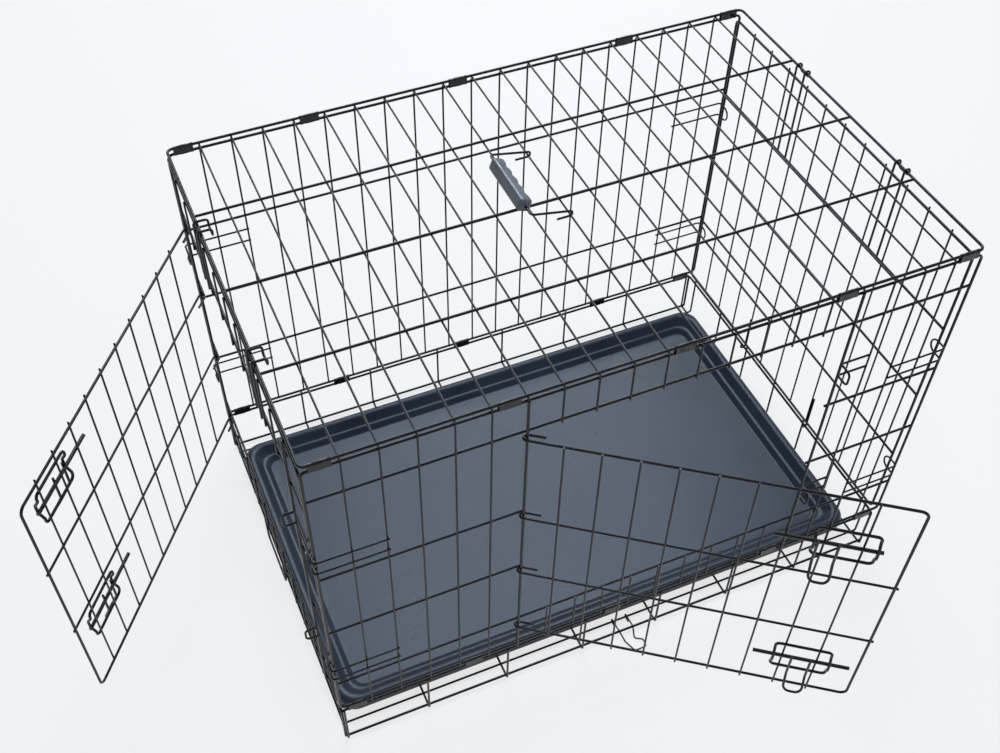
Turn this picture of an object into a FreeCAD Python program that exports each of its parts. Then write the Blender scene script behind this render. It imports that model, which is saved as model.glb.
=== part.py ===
import FreeCAD, Part
import math
import os

Vec = FreeCAD.Vector

# Folding wire crate with two doors, resting on the floor at z = 0.
# +X runs along the length, -Y is the front, +Z is up; the origin is the middle of the base.
# All sizes are in millimetres and run between wire centres unless a comment says otherwise.

# Cage
length = 910.0
width = 600.0
height = 647.0           # floor to the top panel's wires
side_columns = 20        # wire spacings along the front, back and top
end_columns = 12         # wire spacings across each end
end_gap = 5.5            # end panel's edge wire to the side panel's plane
corner_r = 8.0           # bend of a panel's outer wire

# Wires, by radius
frame_r = 2.0            # outer wires of panels, rails, hinge and latch verticals
row_r = 1.9              # horizontal wires of a panel and the outline of a door
fill_r = 1.4             # closely spaced wires
floor_r = 1.7            # floor wires of the base
hook_r = 1.7             # hinge hooks and top hooks of the end panels
weld = 0.4               # depth by which two welded wires sink into each other
stub = 2.5               # wire end past the wire it is welded to
foot = 1.5               # the same at the bottom of a panel, close over the base's rail
touch = 0.05             # between a panel and a welded wire that is a solid of its own
seam = 4.0               # where a panel is divided, inside the uprights of its doorway
run_gap = 0.7            # free space between a moving wire and the wire it turns on

# Heights of the horizontal wires
rail_z = 83.0            # upper rails and end hoops of the base
pair = 9.0               # between the two wires that a hinge clip holds
side_rows = (584.0, 424.0, 298.0, 163.0)
end_rows = (555.0, 424.0, 290.0, 145.0)
plain_spaces = 4         # even spaces between the wires of a panel without a doorway
end_drop = 4.0           # top of an end panel below the top of a side panel

# Corner hairpins of the front and back panels
pin_gap = 22.0           # between the two legs
pin_rise = 24.0          # lower leg above a horizontal wire
pin_reach = 20.0         # closed end behind the side panel's plane
pin_rows = (1, 3)        # which of the horizontal wires they sit above
pin_columns = 2          # wire spacings that the legs run over

# Hooks of the end panels
top_hook_y = 123.0       # middle of a pair of top hooks, on both sides of the centre
top_hook_gap = 21.0      # between the two legs
top_hook_in = 19.0       # width of the left end's hooks, which turn inwards
top_hook_drop = 7.0      # hook tip below the top panel's end wire
hinge_column = 2         # wires from the centre to the one that a hinge hook stands beside

# Doors
front_door_column = 6    # hinge wire of the front door, counted from the left
end_door_column = 1      # hinge wire of the end door, counted from the back
door_columns = 10        # spacings between hinge wire and latch wire
door_over = 9.0          # free side of a door past the latch wire
door_under = 9.0         # top wire of a door below the doorway's upper wire
door_step = 6.0          # middle wires of a door below the panel's
door_lap = 13.0          # bottom wire of a door below the doorway's lower wire
door_mid_r = 1.7         # middle wires of a door
door_corner = 10.0
door_tail = 22.0         # straight end of a hinge hook
door_open = 36.0         # degrees, both doors in the rest pose

# Latches
latch_z = (495.0, 228.0)
latch_set = 76.0         # middle of a guide to the free side of the door
guide_r = 2.0
guide_half = 37.0        # half the length of a guide
guide_rise = 27.0        # half the height of a guide
guide_flat = 7.0         # half the straight part of the hump over the bolt
guide_ramp = 17.0        # half the height of the whole hump
bolt_r = 2.6
bolt_length = 128.0
bolt_gap = 0.6           # free space between the bolt and the wires around it
pull_r = 1.8
pull_half = 12.5         # half the width of the finger pull
pull_rise = 5.0          # tops of the pull above the bolt
pull_knee = 34.0         # where the pull turns outwards, below the bolt
pull_drop = 60.0
pull_kick = 13.0         # how far its lower end stands off
staple_r = 1.6
staple_gap = 22.0

# Hinge clips
clip_share = 0.6         # length of a clip in wire spacings
clip_wall = 0.9
clip_fit = 0.1           # free space round the two wires
clip_slit = 0.4          # between the two pinched walls
clip_top_front = (0.5, 5.5, 10.5, 15.5, 19.5)
clip_top_back = (0.5, 4.5, 9.5, 15.5, 19.5)
clip_bottom = (4.5, 9.5, 15.5)

# Base floor
cross_count = 8          # wires across the floor, turned up at both sides
lane_count = 7           # wires along the floor
lane_pitch = 93.3
floor_bend = 4.0
loop_bend = 2.5
hoop_bend = 6.0

# Tray
tray_left = 6.0          # left hoop to the tray's left side
tray_right = 3.0         # right uprights to the tray's right side
tray_half = 270.0        # half the outer width
tray_top = 30.0          # rim above the floor
tray_wall = 2.5
tray_lift = 0.6          # tray bottom above the floor wires
tray_corner = 30.0
tray_rim = 18.0          # width of the rim
tray_slope = 9.0         # how far each of the two inner walls leans in
tray_ledge = 5.0         # width of the step between the inner walls
tray_step = 11.0         # step below the rim
tray_skirt = 4.0         # lower edge of the rim's outer wall above the tray's bottom
tray_round = 2.4         # rounding of the rim's outer edge

# Carry handle
bail_r = 1.6
bail_column = 10         # cross wire of the top panel that carries it
bail_arm = 56.0          # from that wire to the grip
bail_tail = 18.0
bail_side = 18.0         # arms beside the ends of the grip
grip_y = 36.0
grip_length = 98.0
grip_half = 10.5         # half the height and half the width
grip_bore_gap = 0.15
grip_fingers = 4
grip_dent = 2.2          # depth of a finger hollow

# Swinging bail on the left hoop
swing_r = 1.6
swing_y = (-30.0, 66.0)
swing_drop = 46.0

# Fold hook on a floor wire
fold_r = 1.2
fold_gap = 0.5
fold_x = (-4.0, 20.0)
fold_crest = 9.8         # height of its legs over the outer floor wire
fold_reach = 58.0        # closed end from the floor wire that carries it

# Sizes that follow
pitch = length / side_columns
half_x = length / 2
half_y = width / 2
clip_length = clip_share * pitch
end_half = half_y - end_gap
end_pitch = 2 * end_half / end_columns
panel_bottom = rail_z + pair
panel_top = height - pair
end_top = panel_top - end_drop
fill_layer = frame_r + fill_r - weld
heavy_layer = 2 * frame_r - weld
hook_layer = frame_r + hook_r + touch
hook_turn = frame_r + hook_r + run_gap
hinge_y = hinge_column * end_pitch + fill_r + hook_r + touch
left_x = half_x + hook_turn - hook_layer
right_x = half_x - hook_turn - hook_layer
hoop_set = hook_turn - hook_layer
left_hoop = left_x - hoop_set
right_hoop = right_x - hoop_set
door_turn = frame_r + row_r + run_gap
door_fill = door_turn + row_r + fill_r - weld
guide_layer = door_fill + fill_r + guide_r + touch
bolt_layer = door_fill + fill_r + bolt_gap + bolt_r
hump_layer = bolt_layer + bolt_r + bolt_gap + guide_r
pull_layer = bolt_layer + bolt_r + pull_r - weld
throw = 2 * (guide_half - guide_r - pull_r - pull_half - run_gap)
staple_out = heavy_layer + bolt_layer + bolt_r + run_gap + staple_r
staple_set = frame_r + staple_r + touch
floor_z = floor_r
lane_z = floor_z + 2 * floor_r - weld
loop_z = floor_z + floor_r + frame_r - weld
upright_set = frame_r + floor_r - weld
upright_z = loop_z + loop_bend
cross_left = -left_hoop + upright_set
cross_right = right_hoop - upright_set
lane_right = right_hoop + upright_set
top_cross_z = height - fill_layer
tray_bottom = lane_z + floor_r + tray_lift


def rod(a, b, r):
    """Straight wire from a to b."""
    start = Vec(*a)
    run = Vec(*b) - start
    return Part.makeCylinder(r, run.Length, start, run)


def bent(points, r, bends):
    """Wire through the points, with one bend radius for each inner point."""
    knots = [Vec(*p) for p in points]
    edges = []
    here = knots[0]
    for i, bend in enumerate(bends):
        corner = knots[i + 1]
        back = (knots[i] - corner).normalize()
        on = (knots[i + 2] - corner).normalize()
        half = back.getAngle(on) / 2
        start = corner + back * (bend / math.tan(half))
        end = corner + on * (bend / math.tan(half))
        middle = corner + (back + on).normalize() * (bend / math.sin(half) - bend)
        if here.distanceToPoint(start) > 1e-6:
            edges.append(Part.LineSegment(here, start).toShape())
        edges.append(Part.Arc(start, middle, end).toShape())
        here = end
    if here.distanceToPoint(knots[-1]) > 1e-6:
        edges.append(Part.LineSegment(here, knots[-1]).toShape())
    section = Part.Wire(Part.makeCircle(r, knots[0], knots[1] - knots[0]))
    return Part.Wire(edges).makePipeShell([section], True, False)


def closed(points, r, bend):
    """Wire bent to a closed shape of four corners, as its two halves."""
    first = Vec(*points[3]) + (Vec(*points[0]) - Vec(*points[3])) * 0.5
    second = Vec(*points[1]) + (Vec(*points[2]) - Vec(*points[1])) * 0.5
    one = bent([first, points[0], points[1], second], r, [bend, bend])
    two = bent([second, points[2], points[3], first], r, [bend, bend])
    return [one, two]


def welded(wires):
    """Wires joined to one solid."""
    body = wires[0].multiFuse(wires[1:])
    if len(body.Solids) != 1:
        raise ValueError("the wires do not form one piece")
    return body.Solids[0]


def placed(shape, turn, x, y, z=0.0):
    """Shape turned about the vertical by degrees and then moved."""
    moved = shape.copy()
    moved.Placement = FreeCAD.Placement(Vec(x, y, z), FreeCAD.Rotation(Vec(0, 0, 1), turn))
    return moved


# A panel is made flat at y = 0 with its outer face towards -Y and then placed.
# A grid gives its columns, their spacing, its lowest and highest wire and the wires between.
# Round a doorway a panel is divided into four parts, which meet end to end at the seams.

def even_rows(top):
    """Heights of evenly spaced horizontal wires, the highest first."""
    step = (top - panel_bottom) / plain_spaces
    return [top - step * count for count in range(1, plain_spaces)]


side_grid = (side_columns, pitch, panel_bottom, panel_top, side_rows)
back_grid = (side_columns, pitch, panel_bottom, panel_top, even_rows(panel_top))
left_grid = (end_columns, end_pitch, panel_bottom, end_top, end_rows)
right_grid = (end_columns, end_pitch, panel_bottom, end_top, even_rows(end_top))


def edge_wire(side, cut, half, bottom, top):
    """Outer wire of a panel on one side of a cut."""
    points = [(cut, 0, bottom), (side * half, 0, bottom), (side * half, 0, top), (cut, 0, top)]
    return bent(points, frame_r, [corner_r, corner_r])


def fill_wires(columns, step, half, low, high):
    """Closely spaced wires in the given columns."""
    places = [column * step - half for column in columns]
    return [rod((x, -fill_layer, low), (x, -fill_layer, high), fill_r) for x in places]


def plain_panel(grid):
    """Panel without a doorway."""
    columns, step, bottom, top, rows = grid
    half = columns * step / 2
    wires = [edge_wire(side, 0, half, bottom, top) for side in (-1, 1)]
    for z in rows:
        wires.append(rod((-half, 0, z), (half, 0, z), row_r))
    wires += fill_wires(range(1, columns), step, half, bottom - foot, top + stub)
    return welded(wires)


def panel_side(grid, side, column):
    """Part of a panel beside its doorway, with the heavy upright that the door hangs on or meets."""
    columns, step, bottom, top, rows = grid
    half = columns * step / 2
    post = column * step - half
    cut = post - side * seam
    wires = [edge_wire(side, cut, half, bottom, top)]
    for z in rows:
        end = cut if z in (rows[0], rows[-1]) else post - side * stub
        wires.append(rod((side * half, 0, z), (end, 0, z), row_r))
    outside = range(1, column) if side < 0 else range(column + 1, columns)
    wires += fill_wires(outside, step, half, bottom - foot, top + stub)
    wires.append(rod((post, -heavy_layer, bottom - foot), (post, -heavy_layer, top + stub), frame_r))
    return welded(wires)


def panel_strip(grid, doorway, low, high, low_r, high_r, ends):
    """Part of a panel above or below its doorway, between two horizontal wires."""
    columns, step = grid[:2]
    half = columns * step / 2
    a = doorway[0] * step - half + seam
    b = doorway[1] * step - half - seam
    wires = [rod((a, 0, low), (b, 0, low), low_r), rod((a, 0, high), (b, 0, high), high_r)]
    wires += fill_wires(range(doorway[0] + 1, doorway[1]), step, half, ends[0], ends[1])
    return welded(wires)


def doorway_panel(grid, doorway):
    """The four parts of a panel with a doorway, by name."""
    columns, step, bottom, top, rows = grid
    header, sill = rows[0], rows[-1]
    return {
        "hinge_side": panel_side(grid, -1, doorway[0]),
        "latch_side": panel_side(grid, 1, doorway[1]),
        "header": panel_strip(grid, doorway, header, top, row_r, frame_r, (header - stub, top + stub)),
        "sill": panel_strip(grid, doorway, bottom, sill, frame_r, row_r, (bottom - foot, sill + stub)),
    }


def hairpin(side, row, plane):
    """Corner hairpin of a side panel; its closed end stands outside the end panel."""
    y = -fill_layer - 2 * fill_r - touch
    start = side * (half_x - pin_columns * pitch - stub)
    end = side * (plane + frame_r + run_gap + fill_r)
    low = side_rows[row] + pin_rise
    high = low + pin_gap
    points = [(start, y, low), (end, y, low), (end, pin_reach, low),
              (end, pin_reach, high), (end, y, high), (start, y, high)]
    return bent(points, fill_r, [4, pin_gap / 2, pin_gap / 2, 4])


def hairpins(side, plane):
    """The hairpins at one corner of the crate."""
    return Part.makeCompound([hairpin(side, row, plane) for row in pin_rows])


def staple(x, start, layer, z):
    """Latch staple; the bolt of the closed door passes between its legs."""
    low = z - staple_gap / 2
    high = z + staple_gap / 2
    out = x + staple_set
    points = [(start, -layer, low), (out, -layer, low), (out, -staple_out, low),
              (out, -staple_out, high), (out, -layer, high), (start, -layer, high)]
    return bent(points, staple_r, [3, 6, 6, 3])


def staples(grid, column, start, layer):
    """The latch staples beside one doorway."""
    x = column * grid[1] - grid[0] * grid[1] / 2
    return Part.makeCompound([staple(x, start, layer, z) for z in latch_z])


def top_hook(y, row, inwards):
    """Pair of hooks from one wire, laid over the top panel's end wire and down to a panel's row."""
    crest = height + hook_turn
    tip = -hook_layer - 2 * hook_turn
    if inwards:
        tip = -hook_layer + top_hook_in
    low = row - stub
    end = height - top_hook_drop
    a = y - top_hook_gap / 2
    b = y + top_hook_gap / 2
    points = [(a, -hook_layer, low), (a, -hook_layer, crest), (a, tip, crest), (a, tip, end),
              (b, tip, end), (b, tip, crest), (b, -hook_layer, crest), (b, -hook_layer, low)]
    return bent(points, hook_r, [hook_turn, hook_turn, 4, 4, hook_turn, hook_turn])


def hinge_hook(y):
    """Hook round the base's hoop, on which an end panel folds."""
    inner = 2 * hook_turn - hook_layer
    under = rail_z - hook_turn
    points = [(y, -hook_layer, end_rows[-1] + stub), (y, -hook_layer, under),
              (y, inner, under), (y, inner, rail_z + 3)]
    return bent(points, hook_r, [hook_turn, hook_turn])


def end_hooks(grid, inwards):
    """Top hooks and hinge hooks of an end panel, welded on its outer face."""
    hooks = [top_hook(side * top_hook_y, grid[4][0], inwards) for side in (-1, 1)]
    hooks += [hinge_hook(side * hinge_y) for side in (-1, 1)]
    return Part.makeCompound(hooks)


def top_panel():
    """Top panel; its cross wires lie under the long ones."""
    wires = closed([(-half_x, -half_y, height), (half_x, -half_y, height),
                    (half_x, half_y, height), (-half_x, half_y, height)], frame_r, corner_r)
    for y in (-half_y / 2, 0, half_y / 2):
        wires.append(rod((-half_x, y, height), (half_x, y, height), row_r))
    for column in range(1, side_columns):
        x = column * pitch - half_x
        reach = half_y + stub
        wires.append(rod((x, -reach, top_cross_z), (x, reach, top_cross_z), fill_r))
    return welded(wires)


def lane_rows():
    """Positions across the floor of the wires that run along it."""
    middle = (lane_count - 1) / 2
    return [(i - middle) * lane_pitch for i in range(lane_count)]


def cross_places():
    """Positions along the crate of the wires that run across its floor."""
    step = (cross_right - cross_left) / (cross_count - 1)
    return [cross_left + i * step for i in range(cross_count)]


# The base is divided into its floor, its sides and the bars of its hoops, which meet end to end.

def base_floor():
    """Floor wires of the base, with the bends that turn up to its sides."""
    out = half_y + upright_set
    wires = []
    for x in cross_places():
        points = [(x, -out, upright_z), (x, -out, floor_z), (x, out, floor_z), (x, out, upright_z)]
        wires.append(bent(points, floor_r, [floor_bend, floor_bend]))
    for y in lane_rows():
        wires.append(rod((cross_left - stub, y, lane_z), (lane_right - floor_bend, y, lane_z), floor_r))
    for y in (-half_y, half_y):
        points = [(-left_hoop, y, upright_z), (-left_hoop, y, loop_z),
                  (right_hoop, y, loop_z), (right_hoop, y, upright_z)]
        wires.append(bent(points, frame_r, [loop_bend, loop_bend]))
    return welded(wires)


def base_side(side):
    """Uprights and upper rail at the front or the back, with the posts of both hoops."""
    y = side * half_y
    out = side * (half_y + upright_set)
    wires = [rod((x, out, upright_z), (x, out, rail_z + stub), floor_r) for x in cross_places()]
    wires.append(rod((cross_left - stub, y, rail_z), (cross_right + stub, y, rail_z), frame_r))
    for x in (-left_hoop, right_hoop):
        points = [(x, y, upright_z), (x, y, rail_z), (x, y - side * hoop_bend, rail_z)]
        wires.append(bent(points, frame_r, [hoop_bend]))
    return welded(wires)


def hoop_bar(x):
    """Upper bar of an end hoop."""
    reach = half_y - hoop_bend
    return rod((x, -reach, rail_z), (x, reach, rail_z), frame_r)


def base_right_side():
    """Bar of the right hoop and the floor wires that turn up to it."""
    wires = [hoop_bar(right_hoop)]
    for y in lane_rows():
        points = [(lane_right - floor_bend, y, lane_z), (lane_right, y, lane_z),
                  (lane_right, y, rail_z + stub)]
        wires.append(bent(points, floor_r, [floor_bend]))
    return welded(wires)


# A door is made with its hinge wire's axis on the vertical through the origin,
# closed along +X, with its outer face towards -Y.

def door_rows(rows):
    """Heights of a door's four horizontal wires."""
    return (rows[0] - door_under, rows[1] - door_step, rows[2] - door_step, rows[3] - door_lap)


def door(rows, reach):
    """Door with four hinge hooks."""
    top, upper, lower, bottom = door_rows(rows)
    t = door_turn
    outline = [(door_tail, t, top), (-t, t, top), (-t, -t, top), (reach, -t, top),
               (reach, -t, bottom), (-t, -t, bottom), (-t, t, bottom), (door_tail, t, bottom)]
    wires = [bent(outline, row_r, [t, t, door_corner, door_corner, t, t])]
    for z in (upper, lower):
        points = [(door_tail, t, z), (-t, t, z), (-t, -t, z), (reach + row_r + stub, -t, z)]
        wires.append(bent(points, door_mid_r, [t, t]))
    count = int((reach - 20) / pitch)
    for i in range(1, count + 1):
        x = i * pitch
        wires.append(rod((x, -door_fill, bottom - stub), (x, -door_fill, top + stub), fill_r))
    return welded(wires)


def guide(x, z):
    """Latch guide: a loop whose short sides are humped out over the bolt."""
    halves = []
    for side in (-1, 1):
        e = x + side * guide_half
        points = [(x, -guide_layer, z + guide_rise), (e, -guide_layer, z + guide_rise),
                  (e, -guide_layer, z + guide_ramp), (e, -hump_layer, z + guide_flat),
                  (e, -hump_layer, z - guide_flat), (e, -guide_layer, z - guide_ramp),
                  (e, -guide_layer, z - guide_rise), (x, -guide_layer, z - guide_rise)]
        halves.append(bent(points, guide_r, [6, 5, 5, 5, 5, 6]))
    return welded(halves)


def bolt(x, z):
    """Slide bolt with its finger pull hanging in front of the guide."""
    half = bolt_length / 2
    pin = rod((x - half, -bolt_layer, z), (x + half, -bolt_layer, z), bolt_r)
    a = x - pull_half
    b = x + pull_half
    kick = pull_layer + pull_kick
    points = [(a, -pull_layer, z + pull_rise), (a, -pull_layer, z - pull_knee),
              (a, -kick, z - pull_drop), (b, -kick, z - pull_drop),
              (b, -pull_layer, z - pull_knee), (b, -pull_layer, z + pull_rise)]
    pull = bent(points, pull_r, [8, 9, 9, 8])
    return welded([pin, pull])


def clip():
    """Crimped sheet sleeve round two wires, one above the other, about the origin."""
    outer = frame_r + clip_fit + clip_wall
    inner = frame_r + clip_fit
    start = -clip_length / 2
    along = Vec(1, 0, 0)
    web = clip_wall + clip_slit / 2
    shell = Part.makeBox(clip_length, 2 * web, pair, Vec(start, -web, -pair / 2))
    hollow = Part.makeBox(clip_length, clip_slit, pair, Vec(start, -clip_slit / 2, -pair / 2))
    for z in (-pair / 2, pair / 2):
        shell = shell.fuse(Part.makeCylinder(outer, clip_length, Vec(start, 0, z), along))
        hollow = hollow.fuse(Part.makeCylinder(inner, clip_length, Vec(start, 0, z), along))
    return shell.cut(hollow).Solids[0]


def tray_outline(inset, z):
    """Rounded rectangle in the tray's outline, drawn in by the inset."""
    x0 = tray_left - left_hoop + inset
    x1 = cross_right - floor_r - tray_right - inset
    y1 = tray_half - inset
    r = tray_corner - inset / 3
    d = r * (1 - math.sqrt(0.5))
    sides = [((x0 + r, -y1), (x1 - r, -y1)), ((x1, r - y1), (x1, y1 - r)),
             ((x1 - r, y1), (x0 + r, y1)), ((x0, y1 - r), (x0, r - y1))]
    middles = [(x1 - d, d - y1), (x1 - d, y1 - d), (x0 + d, y1 - d), (x0 + d, d - y1)]
    edges = []
    for i in range(4):
        start, end = [Vec(p[0], p[1], z) for p in sides[i]]
        after = Vec(sides[(i + 1) % 4][0][0], sides[(i + 1) % 4][0][1], z)
        edges.append(Part.LineSegment(start, end).toShape())
        edges.append(Part.Arc(end, Vec(middles[i][0], middles[i][1], z), after).toShape())
    return Part.Wire(edges)


def slab(low, low_inset, high, high_inset):
    """Block between two heights whose sides lean from one inset to the other."""
    ends = [tray_outline(low_inset, low), tray_outline(high_inset, high)]
    return Part.makeLoft(ends, True, True)


def tray():
    """Moulded tray: hollow rim, two leaning inner walls with a step between, flat floor."""
    ledge_z = tray_top - tray_step
    ledge_in = tray_rim + tray_slope
    wall_in = ledge_in + tray_ledge
    floor_in = wall_in + tray_slope
    inner_z = tray_bottom + tray_wall
    rim = slab(tray_bottom + tray_skirt, 0, tray_top, 0)
    outer_edge = [e for e in rim.Edges if abs(e.BoundBox.ZMin - tray_top) < 0.01]
    rim = rim.makeFillet(tray_round, outer_edge)
    rim = rim.cut(slab(tray_bottom, tray_wall, tray_top - tray_wall, tray_wall))
    upper = slab(ledge_z - tray_wall, ledge_in - tray_wall, tray_top, tray_rim - tray_wall)
    lower = slab(tray_bottom, floor_in - tray_wall, ledge_z, wall_in - tray_wall)
    body = rim.fuse(upper).fuse(lower)
    body = body.cut(slab(ledge_z, ledge_in, tray_top, tray_rim))
    body = body.cut(slab(inner_z, floor_in, ledge_z, wall_in))
    return body.Solids[0]


def grip_middle():
    """Height of the grip's axis and its distance from the wire that carries the bail."""
    return height + row_r + run_gap + grip_half, bail_arm


def bail_x():
    """Cross wire that carries the handle."""
    return bail_column * pitch - half_x


def handle_bail():
    """Bent wire through the grip, hooked round a cross wire of the top panel at both ends."""
    turn = fill_r + bail_r + run_gap
    x = bail_x()
    z, arm = grip_middle()
    low = top_cross_z - turn
    high = top_cross_z + turn
    a = grip_y - grip_length / 2 - bail_side
    b = grip_y + grip_length / 2 + bail_side
    one = [(x - bail_tail, a, low), (x + turn, a, low), (x + turn, a, high), (x - arm, a, z)]
    two = [(p[0], b, p[2]) for p in reversed(one)]
    return bent(one + two, bail_r, [turn, turn, 5, 5, turn, turn])


def handle_grip():
    """Moulded grip with finger hollows on the side towards its hooks."""
    z, arm = grip_middle()
    x = bail_x() - arm
    y = grip_y - grip_length / 2
    h = grip_half
    outline = [(-h, -0.5 * h), (-0.5 * h, -h), (0.6 * h, -h), (h, -0.6 * h),
               (h, 0.4 * h), (0.35 * h, h), (-0.45 * h, h), (-h, 0.3 * h)]
    corners = [Vec(x + p, y, z + q) for p, q in outline]
    face = Part.Face(Part.makePolygon(corners + corners[:1]))
    body = face.extrude(Vec(0, grip_length, 0))
    body = body.makeFillet(2.5, body.Edges)
    span = grip_length / (grip_fingers + 1)
    dent_r = (span * span / 4 + grip_dent * grip_dent) / (2 * grip_dent)
    for i in range(grip_fingers):
        centre = Vec(x + h - grip_dent + dent_r, y + (i + 1) * span, z - 2 * h)
        body = body.cut(Part.makeCylinder(dent_r, 4 * h, centre))
    bore = Part.makeCylinder(bail_r + grip_bore_gap, grip_length, Vec(x, y, z), Vec(0, 1, 0))
    return body.cut(bore).Solids[0]


def swing_bail():
    """Staple-shaped wire hanging on the left hoop."""
    turn = frame_r + swing_r + run_gap
    x = -left_hoop
    out = x - turn
    inner = x + turn
    low = rail_z - swing_drop
    a, b = swing_y
    points = [(inner, a, rail_z - 4), (inner, a, rail_z + turn), (out, a, rail_z + turn),
              (out, a, low), (out, b, low), (out, b, rail_z + turn),
              (inner, b, rail_z + turn), (inner, b, rail_z - 4)]
    return bent(points, swing_r, [turn, turn, 7, 7, turn, turn])


def fold_hook():
    """Hook that holds the folded panels down, lying on the floor in use."""
    turn = floor_r + fold_r + fold_gap
    y = lane_rows()[0]
    a, b = fold_x
    crest = -half_y - 2
    tip = y - fold_reach
    flat = fold_r + 0.2
    low = lane_z - turn
    high = lane_z + turn
    points = [(a, y - 8, low), (a, y + turn, low), (a, y + turn, high), (a, y - 9, high),
              (a, crest, fold_crest), (a + 3, tip + 20, flat), (a + 10, tip, flat),
              (b + 6, tip, flat), (b + 7, tip + 13, flat), (b - 5, tip + 20, flat),
              (b, crest, fold_crest), (b, y - 9, high), (b, y + turn, high),
              (b, y + turn, low), (b, y - 8, low)]
    bends = [turn, turn, 8, 10, 5, 5, 5, 4, 4, 8, 8, turn, turn]
    return bent(points, fold_r, bends)


def doorways():
    """Hinge and latch columns of the front panel and of the left end panel."""
    front = (front_door_column, front_door_column + door_columns)
    end = (end_door_column, end_door_column + door_columns)
    return front, end


def door_pieces(name, rows, reach, slides, x, y, turn):
    """Door, guides and bolts, hung at the hinge wire and opened."""
    pieces = {name + "_door": door(rows, reach)}
    middle = reach - latch_set
    for level, z, slide in zip(("upper", "lower"), latch_z, slides):
        pieces[name + "_" + level + "_guide"] = guide(middle, z)
        pieces[name + "_" + level + "_bolt"] = bolt(middle + slide, z)
    return {key: placed(shape, turn - door_open, x, y) for key, shape in pieces.items()}


def clip_places(columns):
    """Positions along the crate that stand for column numbers."""
    return [column * pitch - half_x for column in columns]


def bottom_clip_places():
    """Positions along a rail; the outer clips stand between an upright and the next wire."""
    first = (cross_left + pitch - half_x) / 2
    last = (cross_right + half_x - pitch) / 2
    return [first] + clip_places(clip_bottom) + [last]


def clip_pieces():
    """Hinge clips along the four long edges."""
    shape = clip()
    rows = (("top_front", clip_places(clip_top_front), -half_y, height - pair / 2),
            ("top_back", clip_places(clip_top_back), half_y, height - pair / 2),
            ("bottom_front", bottom_clip_places(), -half_y, rail_z + pair / 2),
            ("bottom_back", bottom_clip_places(), half_y, rail_z + pair / 2))
    pieces = {}
    for name, places, y, z in rows:
        for i, x in enumerate(places):
            pieces["clip_%s_%d" % (name, i + 1)] = placed(shape, 0, x, y, z)
    return pieces


def side_pieces(front):
    """Front panel in its parts, back panel, and what is welded to both."""
    x, y = 0, -half_y
    fixings = {"staples": staples(side_grid, front[1], front[1] * pitch - half_x + pitch + stub,
                                  fill_layer - fill_r - staple_r - touch),
               "left_pins": hairpins(-1, left_x), "right_pins": hairpins(1, right_x)}
    pieces = {}
    for name, shape in {**doorway_panel(side_grid, front), **fixings}.items():
        pieces["front_" + name] = placed(shape, 0, x, y)
    pieces["back_panel"] = placed(plain_panel(back_grid), 180, x, -y)
    pieces["back_left_pins"] = placed(hairpins(1, left_x), 180, x, -y)
    pieces["back_right_pins"] = placed(hairpins(-1, right_x), 180, x, -y)
    return pieces


def end_pieces(end):
    """Left end panel in its parts, right end panel, and what is welded to both."""
    fixings = {"staples": staples(left_grid, end[1], end_half + stub, frame_r + staple_r + touch),
               "hooks": end_hooks(left_grid, True)}
    pieces = {}
    for name, shape in {**doorway_panel(left_grid, end), **fixings}.items():
        pieces["left_end_" + name] = placed(shape, -90, -left_x, 0)
    pieces["right_end_panel"] = placed(plain_panel(right_grid), 90, right_x, 0)
    pieces["right_end_hooks"] = placed(end_hooks(right_grid, False), 90, right_x, 0)
    return pieces


def all_pieces():
    """Every piece of the crate in its place."""
    front, end = doorways()
    pieces = {
        "base_floor": base_floor(),
        "base_front_side": base_side(-1),
        "base_back_side": base_side(1),
        "base_left_bar": hoop_bar(-left_hoop),
        "base_right_side": base_right_side(),
        "top_panel": top_panel(),
        "tray": tray(),
        "handle_bail": handle_bail(),
        "handle_grip": handle_grip(),
        "swing_bail": swing_bail(),
        "fold_hook": fold_hook(),
    }
    pieces.update(side_pieces(front))
    pieces.update(end_pieces(end))
    back = -throw / 2
    pieces.update(door_pieces("front", side_rows, door_columns * pitch + door_over, (back, 0),
                              front[0] * pitch - half_x, -half_y - heavy_layer, 0))
    pieces.update(door_pieces("end", end_rows, door_columns * end_pitch + door_over, (back, back),
                              -left_x - heavy_layer, end_half - end[0] * end_pitch, -90))
    pieces.update(clip_pieces())
    return pieces


os.makedirs("parts", exist_ok=True)
for name, shape in all_pieces().items():
    shape.exportStep("parts/" + name + ".step")
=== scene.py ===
import math

import bpy
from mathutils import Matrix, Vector


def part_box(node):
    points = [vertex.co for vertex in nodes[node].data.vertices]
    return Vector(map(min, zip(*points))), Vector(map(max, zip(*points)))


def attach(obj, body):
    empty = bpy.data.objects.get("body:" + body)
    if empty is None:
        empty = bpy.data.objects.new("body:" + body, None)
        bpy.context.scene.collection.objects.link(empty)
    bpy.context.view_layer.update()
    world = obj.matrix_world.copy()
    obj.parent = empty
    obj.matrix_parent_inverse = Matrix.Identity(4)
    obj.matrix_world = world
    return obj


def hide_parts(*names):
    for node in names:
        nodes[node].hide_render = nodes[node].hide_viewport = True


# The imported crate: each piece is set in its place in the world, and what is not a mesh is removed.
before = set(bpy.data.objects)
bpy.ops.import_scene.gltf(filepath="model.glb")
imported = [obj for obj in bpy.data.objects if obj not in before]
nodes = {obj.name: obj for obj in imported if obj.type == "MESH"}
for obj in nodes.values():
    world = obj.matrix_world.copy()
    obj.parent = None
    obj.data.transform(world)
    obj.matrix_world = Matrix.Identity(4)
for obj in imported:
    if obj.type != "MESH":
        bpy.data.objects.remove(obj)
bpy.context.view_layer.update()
bpy.ops.object.select_all(action="DESELECT")

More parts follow.
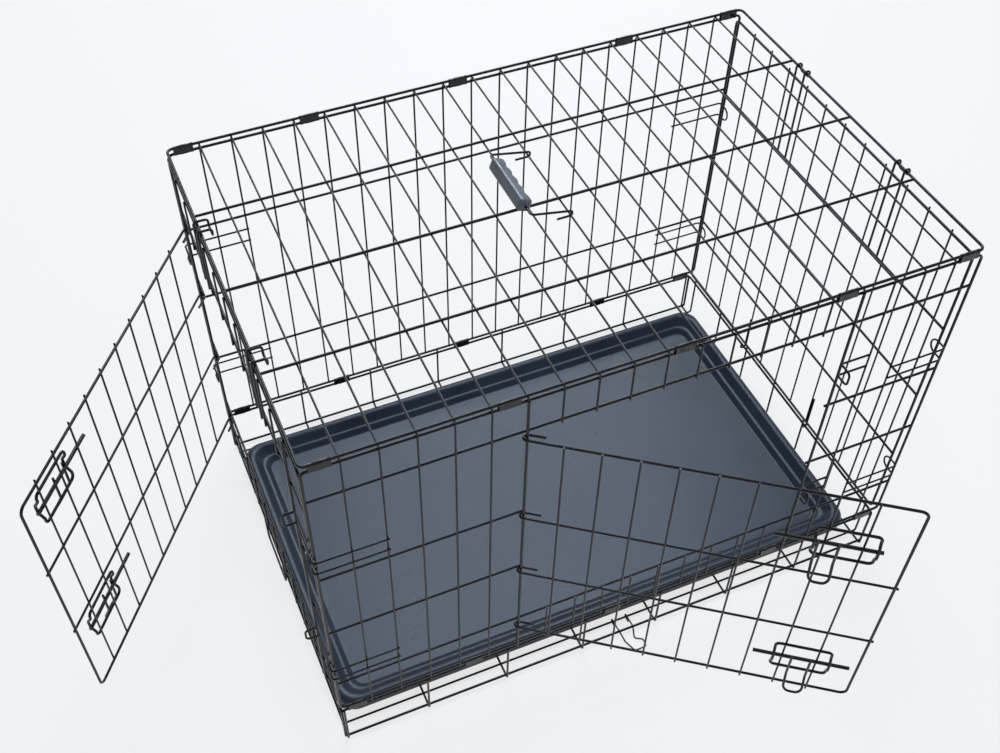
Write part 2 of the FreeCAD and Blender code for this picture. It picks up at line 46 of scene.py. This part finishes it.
# Camera: looks about fifty degrees down on the front left corner, as the photograph does.
camera_place = (-0.5966, -1.1333, 1.7070)
camera_turn = (40.502, -0.082, -22.919)      # degrees about X, Y and Z
bpy.ops.object.camera_add(location=camera_place, rotation=[math.radians(turn) for turn in camera_turn])
camera = bpy.context.object
camera.data.sensor_width = 36.0
camera.data.lens = 44.55
camera.data.shift_x = 0.021
camera.data.shift_y = 0.0345
bpy.context.scene.camera = camera


# Base: floor wires, side uprights, two rails and a hoop at each end.
# Drawn steel wire, cut, bent and spot welded at each crossing, then dipped in black coat.
# The coat is semi-gloss, a little uneven, and paler where it is thinnest.

COLOUR = "NodeSocketColor"
NUMBER = "NodeSocketFloat"


def new_group(name, inputs, outputs):
    """Empty node group with its inputs and their defaults, and its outputs."""
    group = bpy.data.node_groups.new(name, "ShaderNodeTree")
    for label, kind, value in inputs:
        socket = group.interface.new_socket(label, in_out="INPUT", socket_type=kind)
        socket.default_value = value
    for label, kind in outputs:
        group.interface.new_socket(label, in_out="OUTPUT", socket_type=kind)
    return group, add_node(group, "NodeGroupInput", -900), add_node(group, "NodeGroupOutput", 900)


def add_node(tree, kind, across, down=0, **values):
    """Node at a place in the tree, with values on its inputs."""
    made = tree.nodes.new(kind)
    made.location = (across, -down)
    for name, value in values.items():
        made.inputs[name.replace("_", " ")].default_value = value
    return made


def add_mix(tree, across, down=0):
    """Colour mix: the sockets of its share, its two colours and its result."""
    made = add_node(tree, "ShaderNodeMix", across, down)
    made.data_type = "RGBA"
    # The colour sockets come after those for numbers and vectors, which have the same names.
    return made.inputs["Factor"], made.inputs[6], made.inputs[7], made.outputs[2]


def join(tree, *pairs):
    """Links each output to the input beside it."""
    for output, given in pairs:
        tree.links.new(output, given)


def two_tone_group(name, tones, scales, roughness, spread, patch_noise, grain_detail, rough_by):
    """Group with two tones in soft patches and a fine grain as relief; patch or grain sets the roughness."""
    group, given, result = new_group(
        name,
        [("First Tone", COLOUR, tones[0]), ("Second Tone", COLOUR, tones[1]),
         ("Patch Scale", NUMBER, scales[0]), ("Grain Scale", NUMBER, scales[1]),
         ("Smoothest", NUMBER, roughness[0]), ("Roughest", NUMBER, roughness[1])],
        [("Color", COLOUR), ("Roughness", NUMBER), ("Height", NUMBER)])
    place = add_node(group, "ShaderNodeTexCoord", -900, 300)
    patch = add_node(group, "ShaderNodeTexNoise", -600, 0, Detail=patch_noise[0], Roughness=patch_noise[1])
    grain = add_node(group, "ShaderNodeTexNoise", -600, 400, Detail=grain_detail)
    spreader = add_node(group, "ShaderNodeMapRange", -300, 0, From_Min=spread[0], From_Max=spread[1])
    rough = add_node(group, "ShaderNodeMapRange", 0, 300)
    share, first, second, colour = add_mix(group, 0)
    rough_source = {"patch": patch, "grain": grain}[rough_by]
    join(group,
         (place.outputs["Object"], patch.inputs["Vector"]),
         (place.outputs["Object"], grain.inputs["Vector"]),
         (given.outputs["Patch Scale"], patch.inputs["Scale"]),
         (given.outputs["Grain Scale"], grain.inputs["Scale"]),
         (patch.outputs["Fac"], spreader.inputs["Value"]),
         (spreader.outputs["Result"], share),
         (given.outputs["First Tone"], first),
         (given.outputs["Second Tone"], second),
         (rough_source.outputs["Fac"], rough.inputs["Value"]),
         (given.outputs["Smoothest"], rough.inputs["To Min"]),
         (given.outputs["Roughest"], rough.inputs["To Max"]),
         (colour, result.inputs["Color"]),
         (rough.outputs["Result"], result.inputs["Roughness"]),
         (grain.outputs["Fac"], result.inputs["Height"]))
    return group


dipped_coat = two_tone_group(
    "dipped coat", tones=((0.004, 0.005, 0.008, 1), (0.010, 0.010, 0.011, 1)), scales=(18.0, 900.0),
    roughness=(0.10, 0.24), spread=(0.44, 0.72), patch_noise=(4.0, 0.6), grain_detail=2.0, rough_by="grain")


def finish_with(name, group, bump, shine, **values):
    """Material whose colour, roughness and fine relief come from a shared group; shine is its gloss."""
    material = bpy.data.materials.new(name)
    material.use_nodes = True
    tree = material.node_tree
    shader = tree.nodes["Principled BSDF"]
    shader.inputs["Specular IOR Level"].default_value = shine
    maker = add_node(tree, "ShaderNodeGroup", -600)
    maker.node_tree = group
    for label, value in values.items():
        maker.inputs[label.replace("_", " ")].default_value = value
    relief = add_node(tree, "ShaderNodeBump", -300, 300, Strength=bump, Distance=0.0002)
    join(tree,
         (maker.outputs["Color"], shader.inputs["Base Color"]),
         (maker.outputs["Roughness"], shader.inputs["Roughness"]),
         (maker.outputs["Height"], relief.inputs["Height"]),
         (relief.outputs["Normal"], shader.inputs["Normal"]))
    return material


def dress(material, *starts):
    """Gives the material to every node whose name begins with one of the words."""
    for name, piece in nodes.items():
        if name.startswith(starts):
            piece.data.materials.clear()
            piece.data.materials.append(material)


def wire_coat(name, patch_scale):
    """The dipped coat on wires; a larger scale makes smaller patches."""
    return finish_with(name, dipped_coat, bump=0.15, shine=0.26, Patch_Scale=patch_scale)


dress(wire_coat("base wire coat", 18.0), "base_")


# Tray: one sheet of slate grey plastic, vacuum formed over a mould, slid in on the floor wires.
# A hollow rim turns down outside; inside, two leaning walls with a step between lead to a flat floor.

tray_low, tray_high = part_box("tray")
tray_middle = (tray_low + tray_high) / 2
tray_half = (tray_high - tray_low) / 2
tray_sheet = 0.0023
tray_corner = 0.030      # bend of the outline
tray_turns = 12          # straight pieces in each bend
tray_round = 0.0021      # rounding between the faces of the section
# Inset and height of each edge of the section: lip, rolled rim, upper wall, step, lower wall, floor.
tray_rings = ((0.0, tray_low.z + 0.004), (0.0, tray_high.z - 0.006), (0.003, tray_high.z - 0.0015),
              (0.008, tray_high.z), (0.014, tray_high.z - 0.0015), (0.017, tray_high.z - 0.005),
              (0.024, tray_high.z - 0.0125), (0.029, tray_high.z - 0.013), (0.036, tray_low.z + 0.0025))


def pick_points(test):
    """Selects the points of the edited mesh whose place passes the test."""
    bpy.ops.mesh.select_all(action="DESELECT")
    bpy.ops.object.mode_set(mode="OBJECT")
    for point in bpy.context.object.data.vertices:
        point.select = test(point.co)
    bpy.ops.object.mode_set(mode="EDIT")


def apply_modifier(kind, **settings):
    """Adds a modifier to the active piece and applies it."""
    added = bpy.context.object.modifiers.new(kind, kind)
    for name, value in settings.items():
        setattr(added, name, value)
    bpy.ops.object.modifier_apply(modifier=added.name)


def add_ring(inset, level):
    """Rounded rectangle in the tray's outline, drawn in by the inset."""
    bpy.ops.mesh.primitive_plane_add(size=2, location=(tray_middle.x, tray_middle.y, level))
    bpy.ops.transform.resize(value=(tray_half.x - inset, tray_half.y - inset, 1))
    bpy.ops.mesh.bevel(offset=tray_corner - inset / 3, segments=tray_turns, affect="VERTICES")


# The rings are stacked a metre apart while they are bridged and then brought to their heights.
bpy.ops.object.select_all(action="DESELECT")
bpy.ops.mesh.primitive_plane_add(size=1)
tray = bpy.context.object
tray.name = "tray_shell"
bpy.ops.object.mode_set(mode="EDIT")
bpy.ops.mesh.select_all(action="SELECT")
bpy.ops.mesh.delete(type="VERT")
for level, (inset, _) in enumerate(tray_rings, start=1):
    add_ring(inset, level)
    if level < len(tray_rings):
        bpy.ops.mesh.delete(type="ONLY_FACE")
    if level > 1:
        pick_points(lambda place: level - 1.5 < place.z < level + 0.5)
        bpy.ops.mesh.bridge_edge_loops()
for level, (_, height) in enumerate(tray_rings, start=1):
    pick_points(lambda place: abs(place.z - level) < 0.4)
    bpy.ops.transform.translate(value=(0, 0, height - level))
bpy.ops.mesh.select_all(action="SELECT")
bpy.ops.mesh.normals_make_consistent(inside=False)
bpy.ops.object.mode_set(mode="OBJECT")
apply_modifier("BEVEL", width=tray_round, segments=4, limit_method="ANGLE", angle_limit=math.radians(20))
apply_modifier("SOLIDIFY", thickness=tray_sheet, offset=-1)
bpy.ops.object.shade_smooth_by_angle(angle=math.radians(35))

moulded_skin = two_tone_group(
    "moulded skin", tones=((0.016, 0.022, 0.035, 1), (0.024, 0.033, 0.051, 1)), scales=(5.0, 1400.0),
    roughness=(0.22, 0.36), spread=(0.35, 0.65), patch_noise=(5.0, 0.55), grain_detail=3.0, rough_by="patch")

tray.data.materials.append(finish_with("tray plastic", moulded_skin, bump=0.25, shine=0.24))
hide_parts("tray")
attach(tray, "tray")


# Front, back and top panels: heavy outer wires bent to a rounded rectangle with thinner wires welded
# across them, in the same black coat; hairpins at the corners keep the end panels upright.

dress(wire_coat("panel wire coat", 22.0), "front_", "back_", "top_")


# Hinge clips: strips of sheet steel crimped round one wire of each of two panels,
# which lets the panels of a real crate turn on each other when it is folded flat.

clip_names = sorted(name for name in nodes if name.startswith("clip_"))
clip_low, clip_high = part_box(clip_names[0])
clip_half = (clip_high - clip_low) / 2
clip_sheet = 0.0007
clip_turns = 28
same_place = 0.0001      # points this close to a plane lie in it
clip_waist = 0.90        # depth between the two wires, as a share of the depth over them
clip_crimps = ((0.40, 1.0), (0.55, 0.86), (0.70, 1.0), (0.93, 0.97))   # place and depth, as shares


def slice_across(place, normal):
    """Cuts the whole edited mesh along a plane and keeps both sides."""
    bpy.ops.mesh.select_all(action="SELECT")
    bpy.ops.mesh.bisect(plane_co=place, plane_no=normal)


# An open tube is drawn out to an oval, pinched between the wires and crimped near its ends.
bpy.ops.object.select_all(action="DESELECT")
bpy.ops.mesh.primitive_cylinder_add(
    vertices=clip_turns, radius=clip_half.y, depth=2 * clip_half.x, end_fill_type="NOTHING",
    rotation=(0, math.radians(90), 0))
sleeve = bpy.context.object
bpy.ops.object.transform_apply(location=True, rotation=True, scale=True)
bpy.ops.object.mode_set(mode="EDIT")
for side in (-1, 1):
    pick_points(lambda place: place.z * side > same_place)
    bpy.ops.transform.translate(value=(0, 0, side * (clip_half.z - clip_half.y)))
pick_points(lambda place: abs(place.z) < same_place)
bpy.ops.transform.resize(value=(1, clip_waist, 1))
for share, depth in clip_crimps:
    for side in (-1, 1):
        across = side * share * clip_half.x
        slice_across((across, 0, 0), (1, 0, 0))
        pick_points(lambda place: abs(place.x - across) < same_place)
        bpy.ops.transform.resize(value=(1, depth, (1 + depth) / 2))
bpy.ops.mesh.select_all(action="SELECT")
bpy.ops.mesh.normals_make_consistent(inside=False)
bpy.ops.object.mode_set(mode="OBJECT")
apply_modifier("SUBSURF", levels=1, render_levels=1)
apply_modifier("SOLIDIFY", thickness=clip_sheet, offset=-1)
bpy.ops.object.shade_smooth_by_angle(angle=math.radians(50))
sleeve.data.materials.append(finish_with(
    "clip coat", dipped_coat, bump=0.3, shine=0.36, First_Tone=(0.005, 0.0055, 0.007, 1),
    Second_Tone=(0.013, 0.013, 0.015, 1), Patch_Scale=160.0))

for name in clip_names:
    low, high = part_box(name)
    bpy.ops.object.select_all(action="DESELECT")
    sleeve.select_set(True)
    bpy.context.view_layer.objects.active = sleeve
    bpy.ops.object.duplicate()
    clip = bpy.context.object
    clip.name = "sleeve_" + name[len("clip_"):]
    clip.location = (low + high) / 2
    bpy.ops.object.transform_apply(location=True, rotation=True, scale=True)
    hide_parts(name)
    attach(clip, "cage")
bpy.data.objects.remove(sleeve)


# End panels: welded wire panels whose lower hooks turn on the base's hoops
# and whose upper hooks are sprung over the end wires of the top panel.

dress(wire_coat("end wire coat", 20.0), "left_end_", "right_end_")


# Doors: one heavy wire bent round three sides; its ends and two cross wires are hooked
# round a wire of the panel, and thinner wires are welded over them.

dress(wire_coat("door wire coat", 25.0), "front_door", "end_door")


# Latches: a wire guide welded to the door, and a round bolt with a finger pull that slides in it.
# The coat on the bolts is rubbed smoother than on the rest.

guide_coat = wire_coat("guide wire coat", 40.0)
bolt_coat = finish_with(
    "bolt coat", dipped_coat, bump=0.1, shine=0.4, Patch_Scale=60.0, Smoothest=0.08, Roughest=0.18)
for door_name in ("front", "end"):
    for level in ("upper", "lower"):
        dress(guide_coat, door_name + "_" + level + "_guide")
        dress(bolt_coat, door_name + "_" + level + "_bolt")


# Carry handle: a wire bail whose ends are hooked round a cross wire of the top panel.
# Its middle runs through a moulded plastic grip with four finger hollows along one side.

dress(wire_coat("bail wire coat", 50.0), "handle_bail")

grip_low, grip_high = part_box("handle_grip")
grip_middle = (grip_low + grip_high) / 2
grip_size = grip_high - grip_low
grip_fingers = 4
grip_steps = 8           # cuts across each finger hollow
grip_hollow = 0.0024
grip_edge = 0.0046
grip_tilt = math.radians(20)
grip_slim = 0.89         # section before it is tilted, as a share of the room for it

# A block is cut across many times, one side is pressed in to the finger hollows, and the whole is tilted
# until one long edge is uppermost.
bpy.ops.object.select_all(action="DESELECT")
bpy.ops.mesh.primitive_cube_add(size=1, location=grip_middle)
grip = bpy.context.object
grip.name = "grip_moulding"
bpy.ops.transform.resize(value=(grip_size.x * grip_slim, grip_size.y, grip_size.z * grip_slim))
bpy.ops.object.transform_apply(location=True, rotation=True, scale=True)
bpy.ops.object.mode_set(mode="EDIT")
grip_cuts = grip_fingers * grip_steps
hollow_step = grip_size.y / (grip_fingers + 1) / grip_steps
along = [grip_middle.y + hollow_step * (count - grip_cuts / 2) for count in range(grip_cuts + 1)]
for place_y in along:
    slice_across((0, place_y, 0), (0, 1, 0))
for count, place_y in enumerate(along):
    depth = grip_hollow * (1 - math.cos(2 * math.pi * count / grip_steps)) / 2
    pick_points(lambda place: abs(place.y - place_y) < same_place and place.x > grip_middle.x)
    bpy.ops.transform.translate(value=(-depth, 0, 0))
bpy.ops.mesh.select_all(action="SELECT")
bpy.ops.transform.rotate(value=-grip_tilt, orient_axis="Y", center_override=grip_middle)
bpy.ops.object.mode_set(mode="OBJECT")
apply_modifier("BEVEL", width=grip_edge, segments=6, limit_method="ANGLE", angle_limit=math.radians(50))
bpy.ops.object.shade_smooth_by_angle(angle=math.radians(40))
grip.data.materials.append(finish_with(
    "grip plastic", moulded_skin, bump=0.3, shine=0.5, First_Tone=(0.065, 0.075, 0.094, 1),
    Second_Tone=(0.088, 0.101, 0.123, 1), Patch_Scale=40.0))
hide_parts("handle_grip")
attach(grip, "handle")


# Swinging bail on the left hoop, and the hook at the front that holds the folded panels down:
# single bent wires in the same coat.

dress(wire_coat("small wire coat", 50.0), "swing_bail", "fold_hook")


# Stage: a pale floor in a white room whose ceiling is dark in front and at the left, with a large soft light
# and a strip behind the crate and two weaker lights in front, which reflections don't show.

floor_near, floor_far = 1.5, 7.0             # distances between which the floor grows paler
near_glow, far_glow = 0.70, 0.80
room_white = (0.90, 0.91, 0.93, 1)
room_dark = (0.10, 0.105, 0.115, 1)


def seen(tree, across, down):
    """One for what the camera sees directly, in a reflection or through a clear thing, else nought."""
    path = add_node(tree, "ShaderNodeLightPath", across, down)
    total = path.outputs["Is Camera Ray"]
    for label in ("Is Glossy Ray", "Is Transmission Ray"):
        larger = add_node(tree, "ShaderNodeMath", across + 200, down)
        larger.operation = "MAXIMUM"
        join(tree, (total, larger.inputs[0]), (path.outputs[label], larger.inputs[1]))
        total = larger.outputs["Value"]
    return total


bpy.ops.mesh.primitive_plane_add(size=60, location=(0, 0, -0.0005))
floor = bpy.context.object
floor.name = "stage_floor"
floor_paint = bpy.data.materials.new("stage floor paint")
floor_paint.use_nodes = True
floor_tree = floor_paint.node_tree
floor_shader = floor_tree.nodes["Principled BSDF"]
floor_shader.inputs["Base Color"].default_value = (0.20, 0.20, 0.201, 1)
floor_shader.inputs["Roughness"].default_value = 0.9
floor_shader.inputs["Specular IOR Level"].default_value = 0.1
floor_glow = add_node(floor_tree, "ShaderNodeEmission", 0, 300)
floor_sum = add_node(floor_tree, "ShaderNodeAddShader", 250)
floor_place = add_node(floor_tree, "ShaderNodeTexCoord", -900, 500)
floor_reach = add_node(floor_tree, "ShaderNodeVectorMath", -700, 500)
floor_reach.operation = "LENGTH"
floor_level = add_node(floor_tree, "ShaderNodeMapRange", -500, 500, From_Min=floor_near,
                       From_Max=floor_far, To_Min=near_glow, To_Max=far_glow)
floor_power = add_node(floor_tree, "ShaderNodeMath", -200, 400)
floor_power.operation = "MULTIPLY"
join(floor_tree,
     (floor_place.outputs["Object"], floor_reach.inputs[0]),
     (floor_reach.outputs["Value"], floor_level.inputs["Value"]),
     (seen(floor_tree, -700, 200), floor_power.inputs[0]),
     (floor_level.outputs["Result"], floor_power.inputs[1]),
     (floor_power.outputs["Value"], floor_glow.inputs["Strength"]),
     (floor_shader.outputs["BSDF"], floor_sum.inputs[0]),
     (floor_glow.outputs["Emission"], floor_sum.inputs[1]),
     (floor_sum.outputs["Shader"], floor_tree.nodes["Material Output"].inputs["Surface"]))
floor.data.materials.append(floor_paint)


def add_light(name, place, aim, power, size, colour):
    """Rectangular soft light pointed at a place."""
    bpy.ops.object.light_add(type="AREA", location=place)
    lamp = bpy.context.object
    lamp.name = name
    lamp.data.shape = "RECTANGLE"
    lamp.data.size, lamp.data.size_y = size
    lamp.data.energy = power
    lamp.data.color = colour
    lamp.rotation_euler = (Vector(aim) - Vector(place)).to_track_quat("-Z", "Y").to_euler()
    return lamp


add_light("back", (0.65, 1.55, 2.8), aim=(0, 0, 0.1), power=54, size=(1.7, 1.2),
          colour=(0.66, 0.83, 1.0))
add_light("back_strip", (0.9, 2.5, 2.5), aim=(0, 0, 0.64), power=26, size=(1.8, 0.14),
          colour=(0.92, 0.95, 1.0))
fill_lights = (("front_left", (-2.6, -2.4, 2.6), 36), ("front_right", (2.4, -2.2, 2.2), 26))
for name, place, power in fill_lights:
    fill_light = add_light(name, place, aim=(0, 0, 0.3), power=power, size=(2.0, 2.0),
                           colour=(1.0, 1.0, 0.99))
    fill_light.visible_glossy = False

# The room gives soft light, stronger from above; the camera and reflections see its walls and ceiling.
world = bpy.data.worlds.new("white room")
bpy.context.scene.world = world
world.use_nodes = True
room = world.node_tree
room_lamp = room.nodes["Background"]
room_place = add_node(room, "ShaderNodeTexCoord", -900)
room_split = add_node(room, "ShaderNodeSeparateXYZ", -700)
room_rise = add_node(room, "ShaderNodeMapRange", -500, 0, From_Min=0.0, From_Max=0.8)
room_share, room_low, room_high, room_colour = add_mix(room, -300)
room_low.default_value = (0.14, 0.15, 0.17, 1)
room_high.default_value = (0.46, 0.49, 0.54, 1)
room_front = add_node(room, "ShaderNodeMapRange", -500, 250, From_Min=0.1, From_Max=-0.4)
room_above = add_node(room, "ShaderNodeMapRange", -500, 400, From_Min=0.15, From_Max=0.4)
room_left = add_node(room, "ShaderNodeMapRange", -500, 550, From_Min=-0.2, From_Max=-0.5)
room_sides = add_node(room, "ShaderNodeMath", -300, 200)
room_sides.operation = "MAXIMUM"
room_shade = add_node(room, "ShaderNodeMath", -300, 300)
room_shade.operation = "MULTIPLY"
wall_share, wall_pale, wall_dark, wall_colour = add_mix(room, -150, 300)
wall_pale.default_value = room_white
wall_dark.default_value = room_dark
room_wall = add_node(room, "ShaderNodeBackground", 0, 300)
room_both = add_node(room, "ShaderNodeMixShader", 250)
join(room,
     (room_place.outputs["Generated"], room_split.inputs["Vector"]),
     (room_split.outputs["Z"], room_rise.inputs["Value"]),
     (room_rise.outputs["Result"], room_share),
     (room_colour, room_lamp.inputs["Color"]),
     (room_split.outputs["Y"], room_front.inputs["Value"]),
     (room_split.outputs["Z"], room_above.inputs["Value"]),
     (room_split.outputs["X"], room_left.inputs["Value"]),
     (room_front.outputs["Result"], room_sides.inputs[0]),
     (room_left.outputs["Result"], room_sides.inputs[1]),
     (room_sides.outputs["Value"], room_shade.inputs[0]),
     (room_above.outputs["Result"], room_shade.inputs[1]),
     (room_shade.outputs["Value"], wall_share),
     (wall_colour, room_wall.inputs["Color"]),
     (seen(room, -500, 700), room_both.inputs["Fac"]),
     (room_lamp.outputs["Background"], room_both.inputs[1]),
     (room_wall.outputs["Background"], room_both.inputs[2]),
     (room_both.outputs["Shader"], room.nodes["World Output"].inputs["Surface"]))

bpy.context.scene.view_settings.view_transform = "Standard"
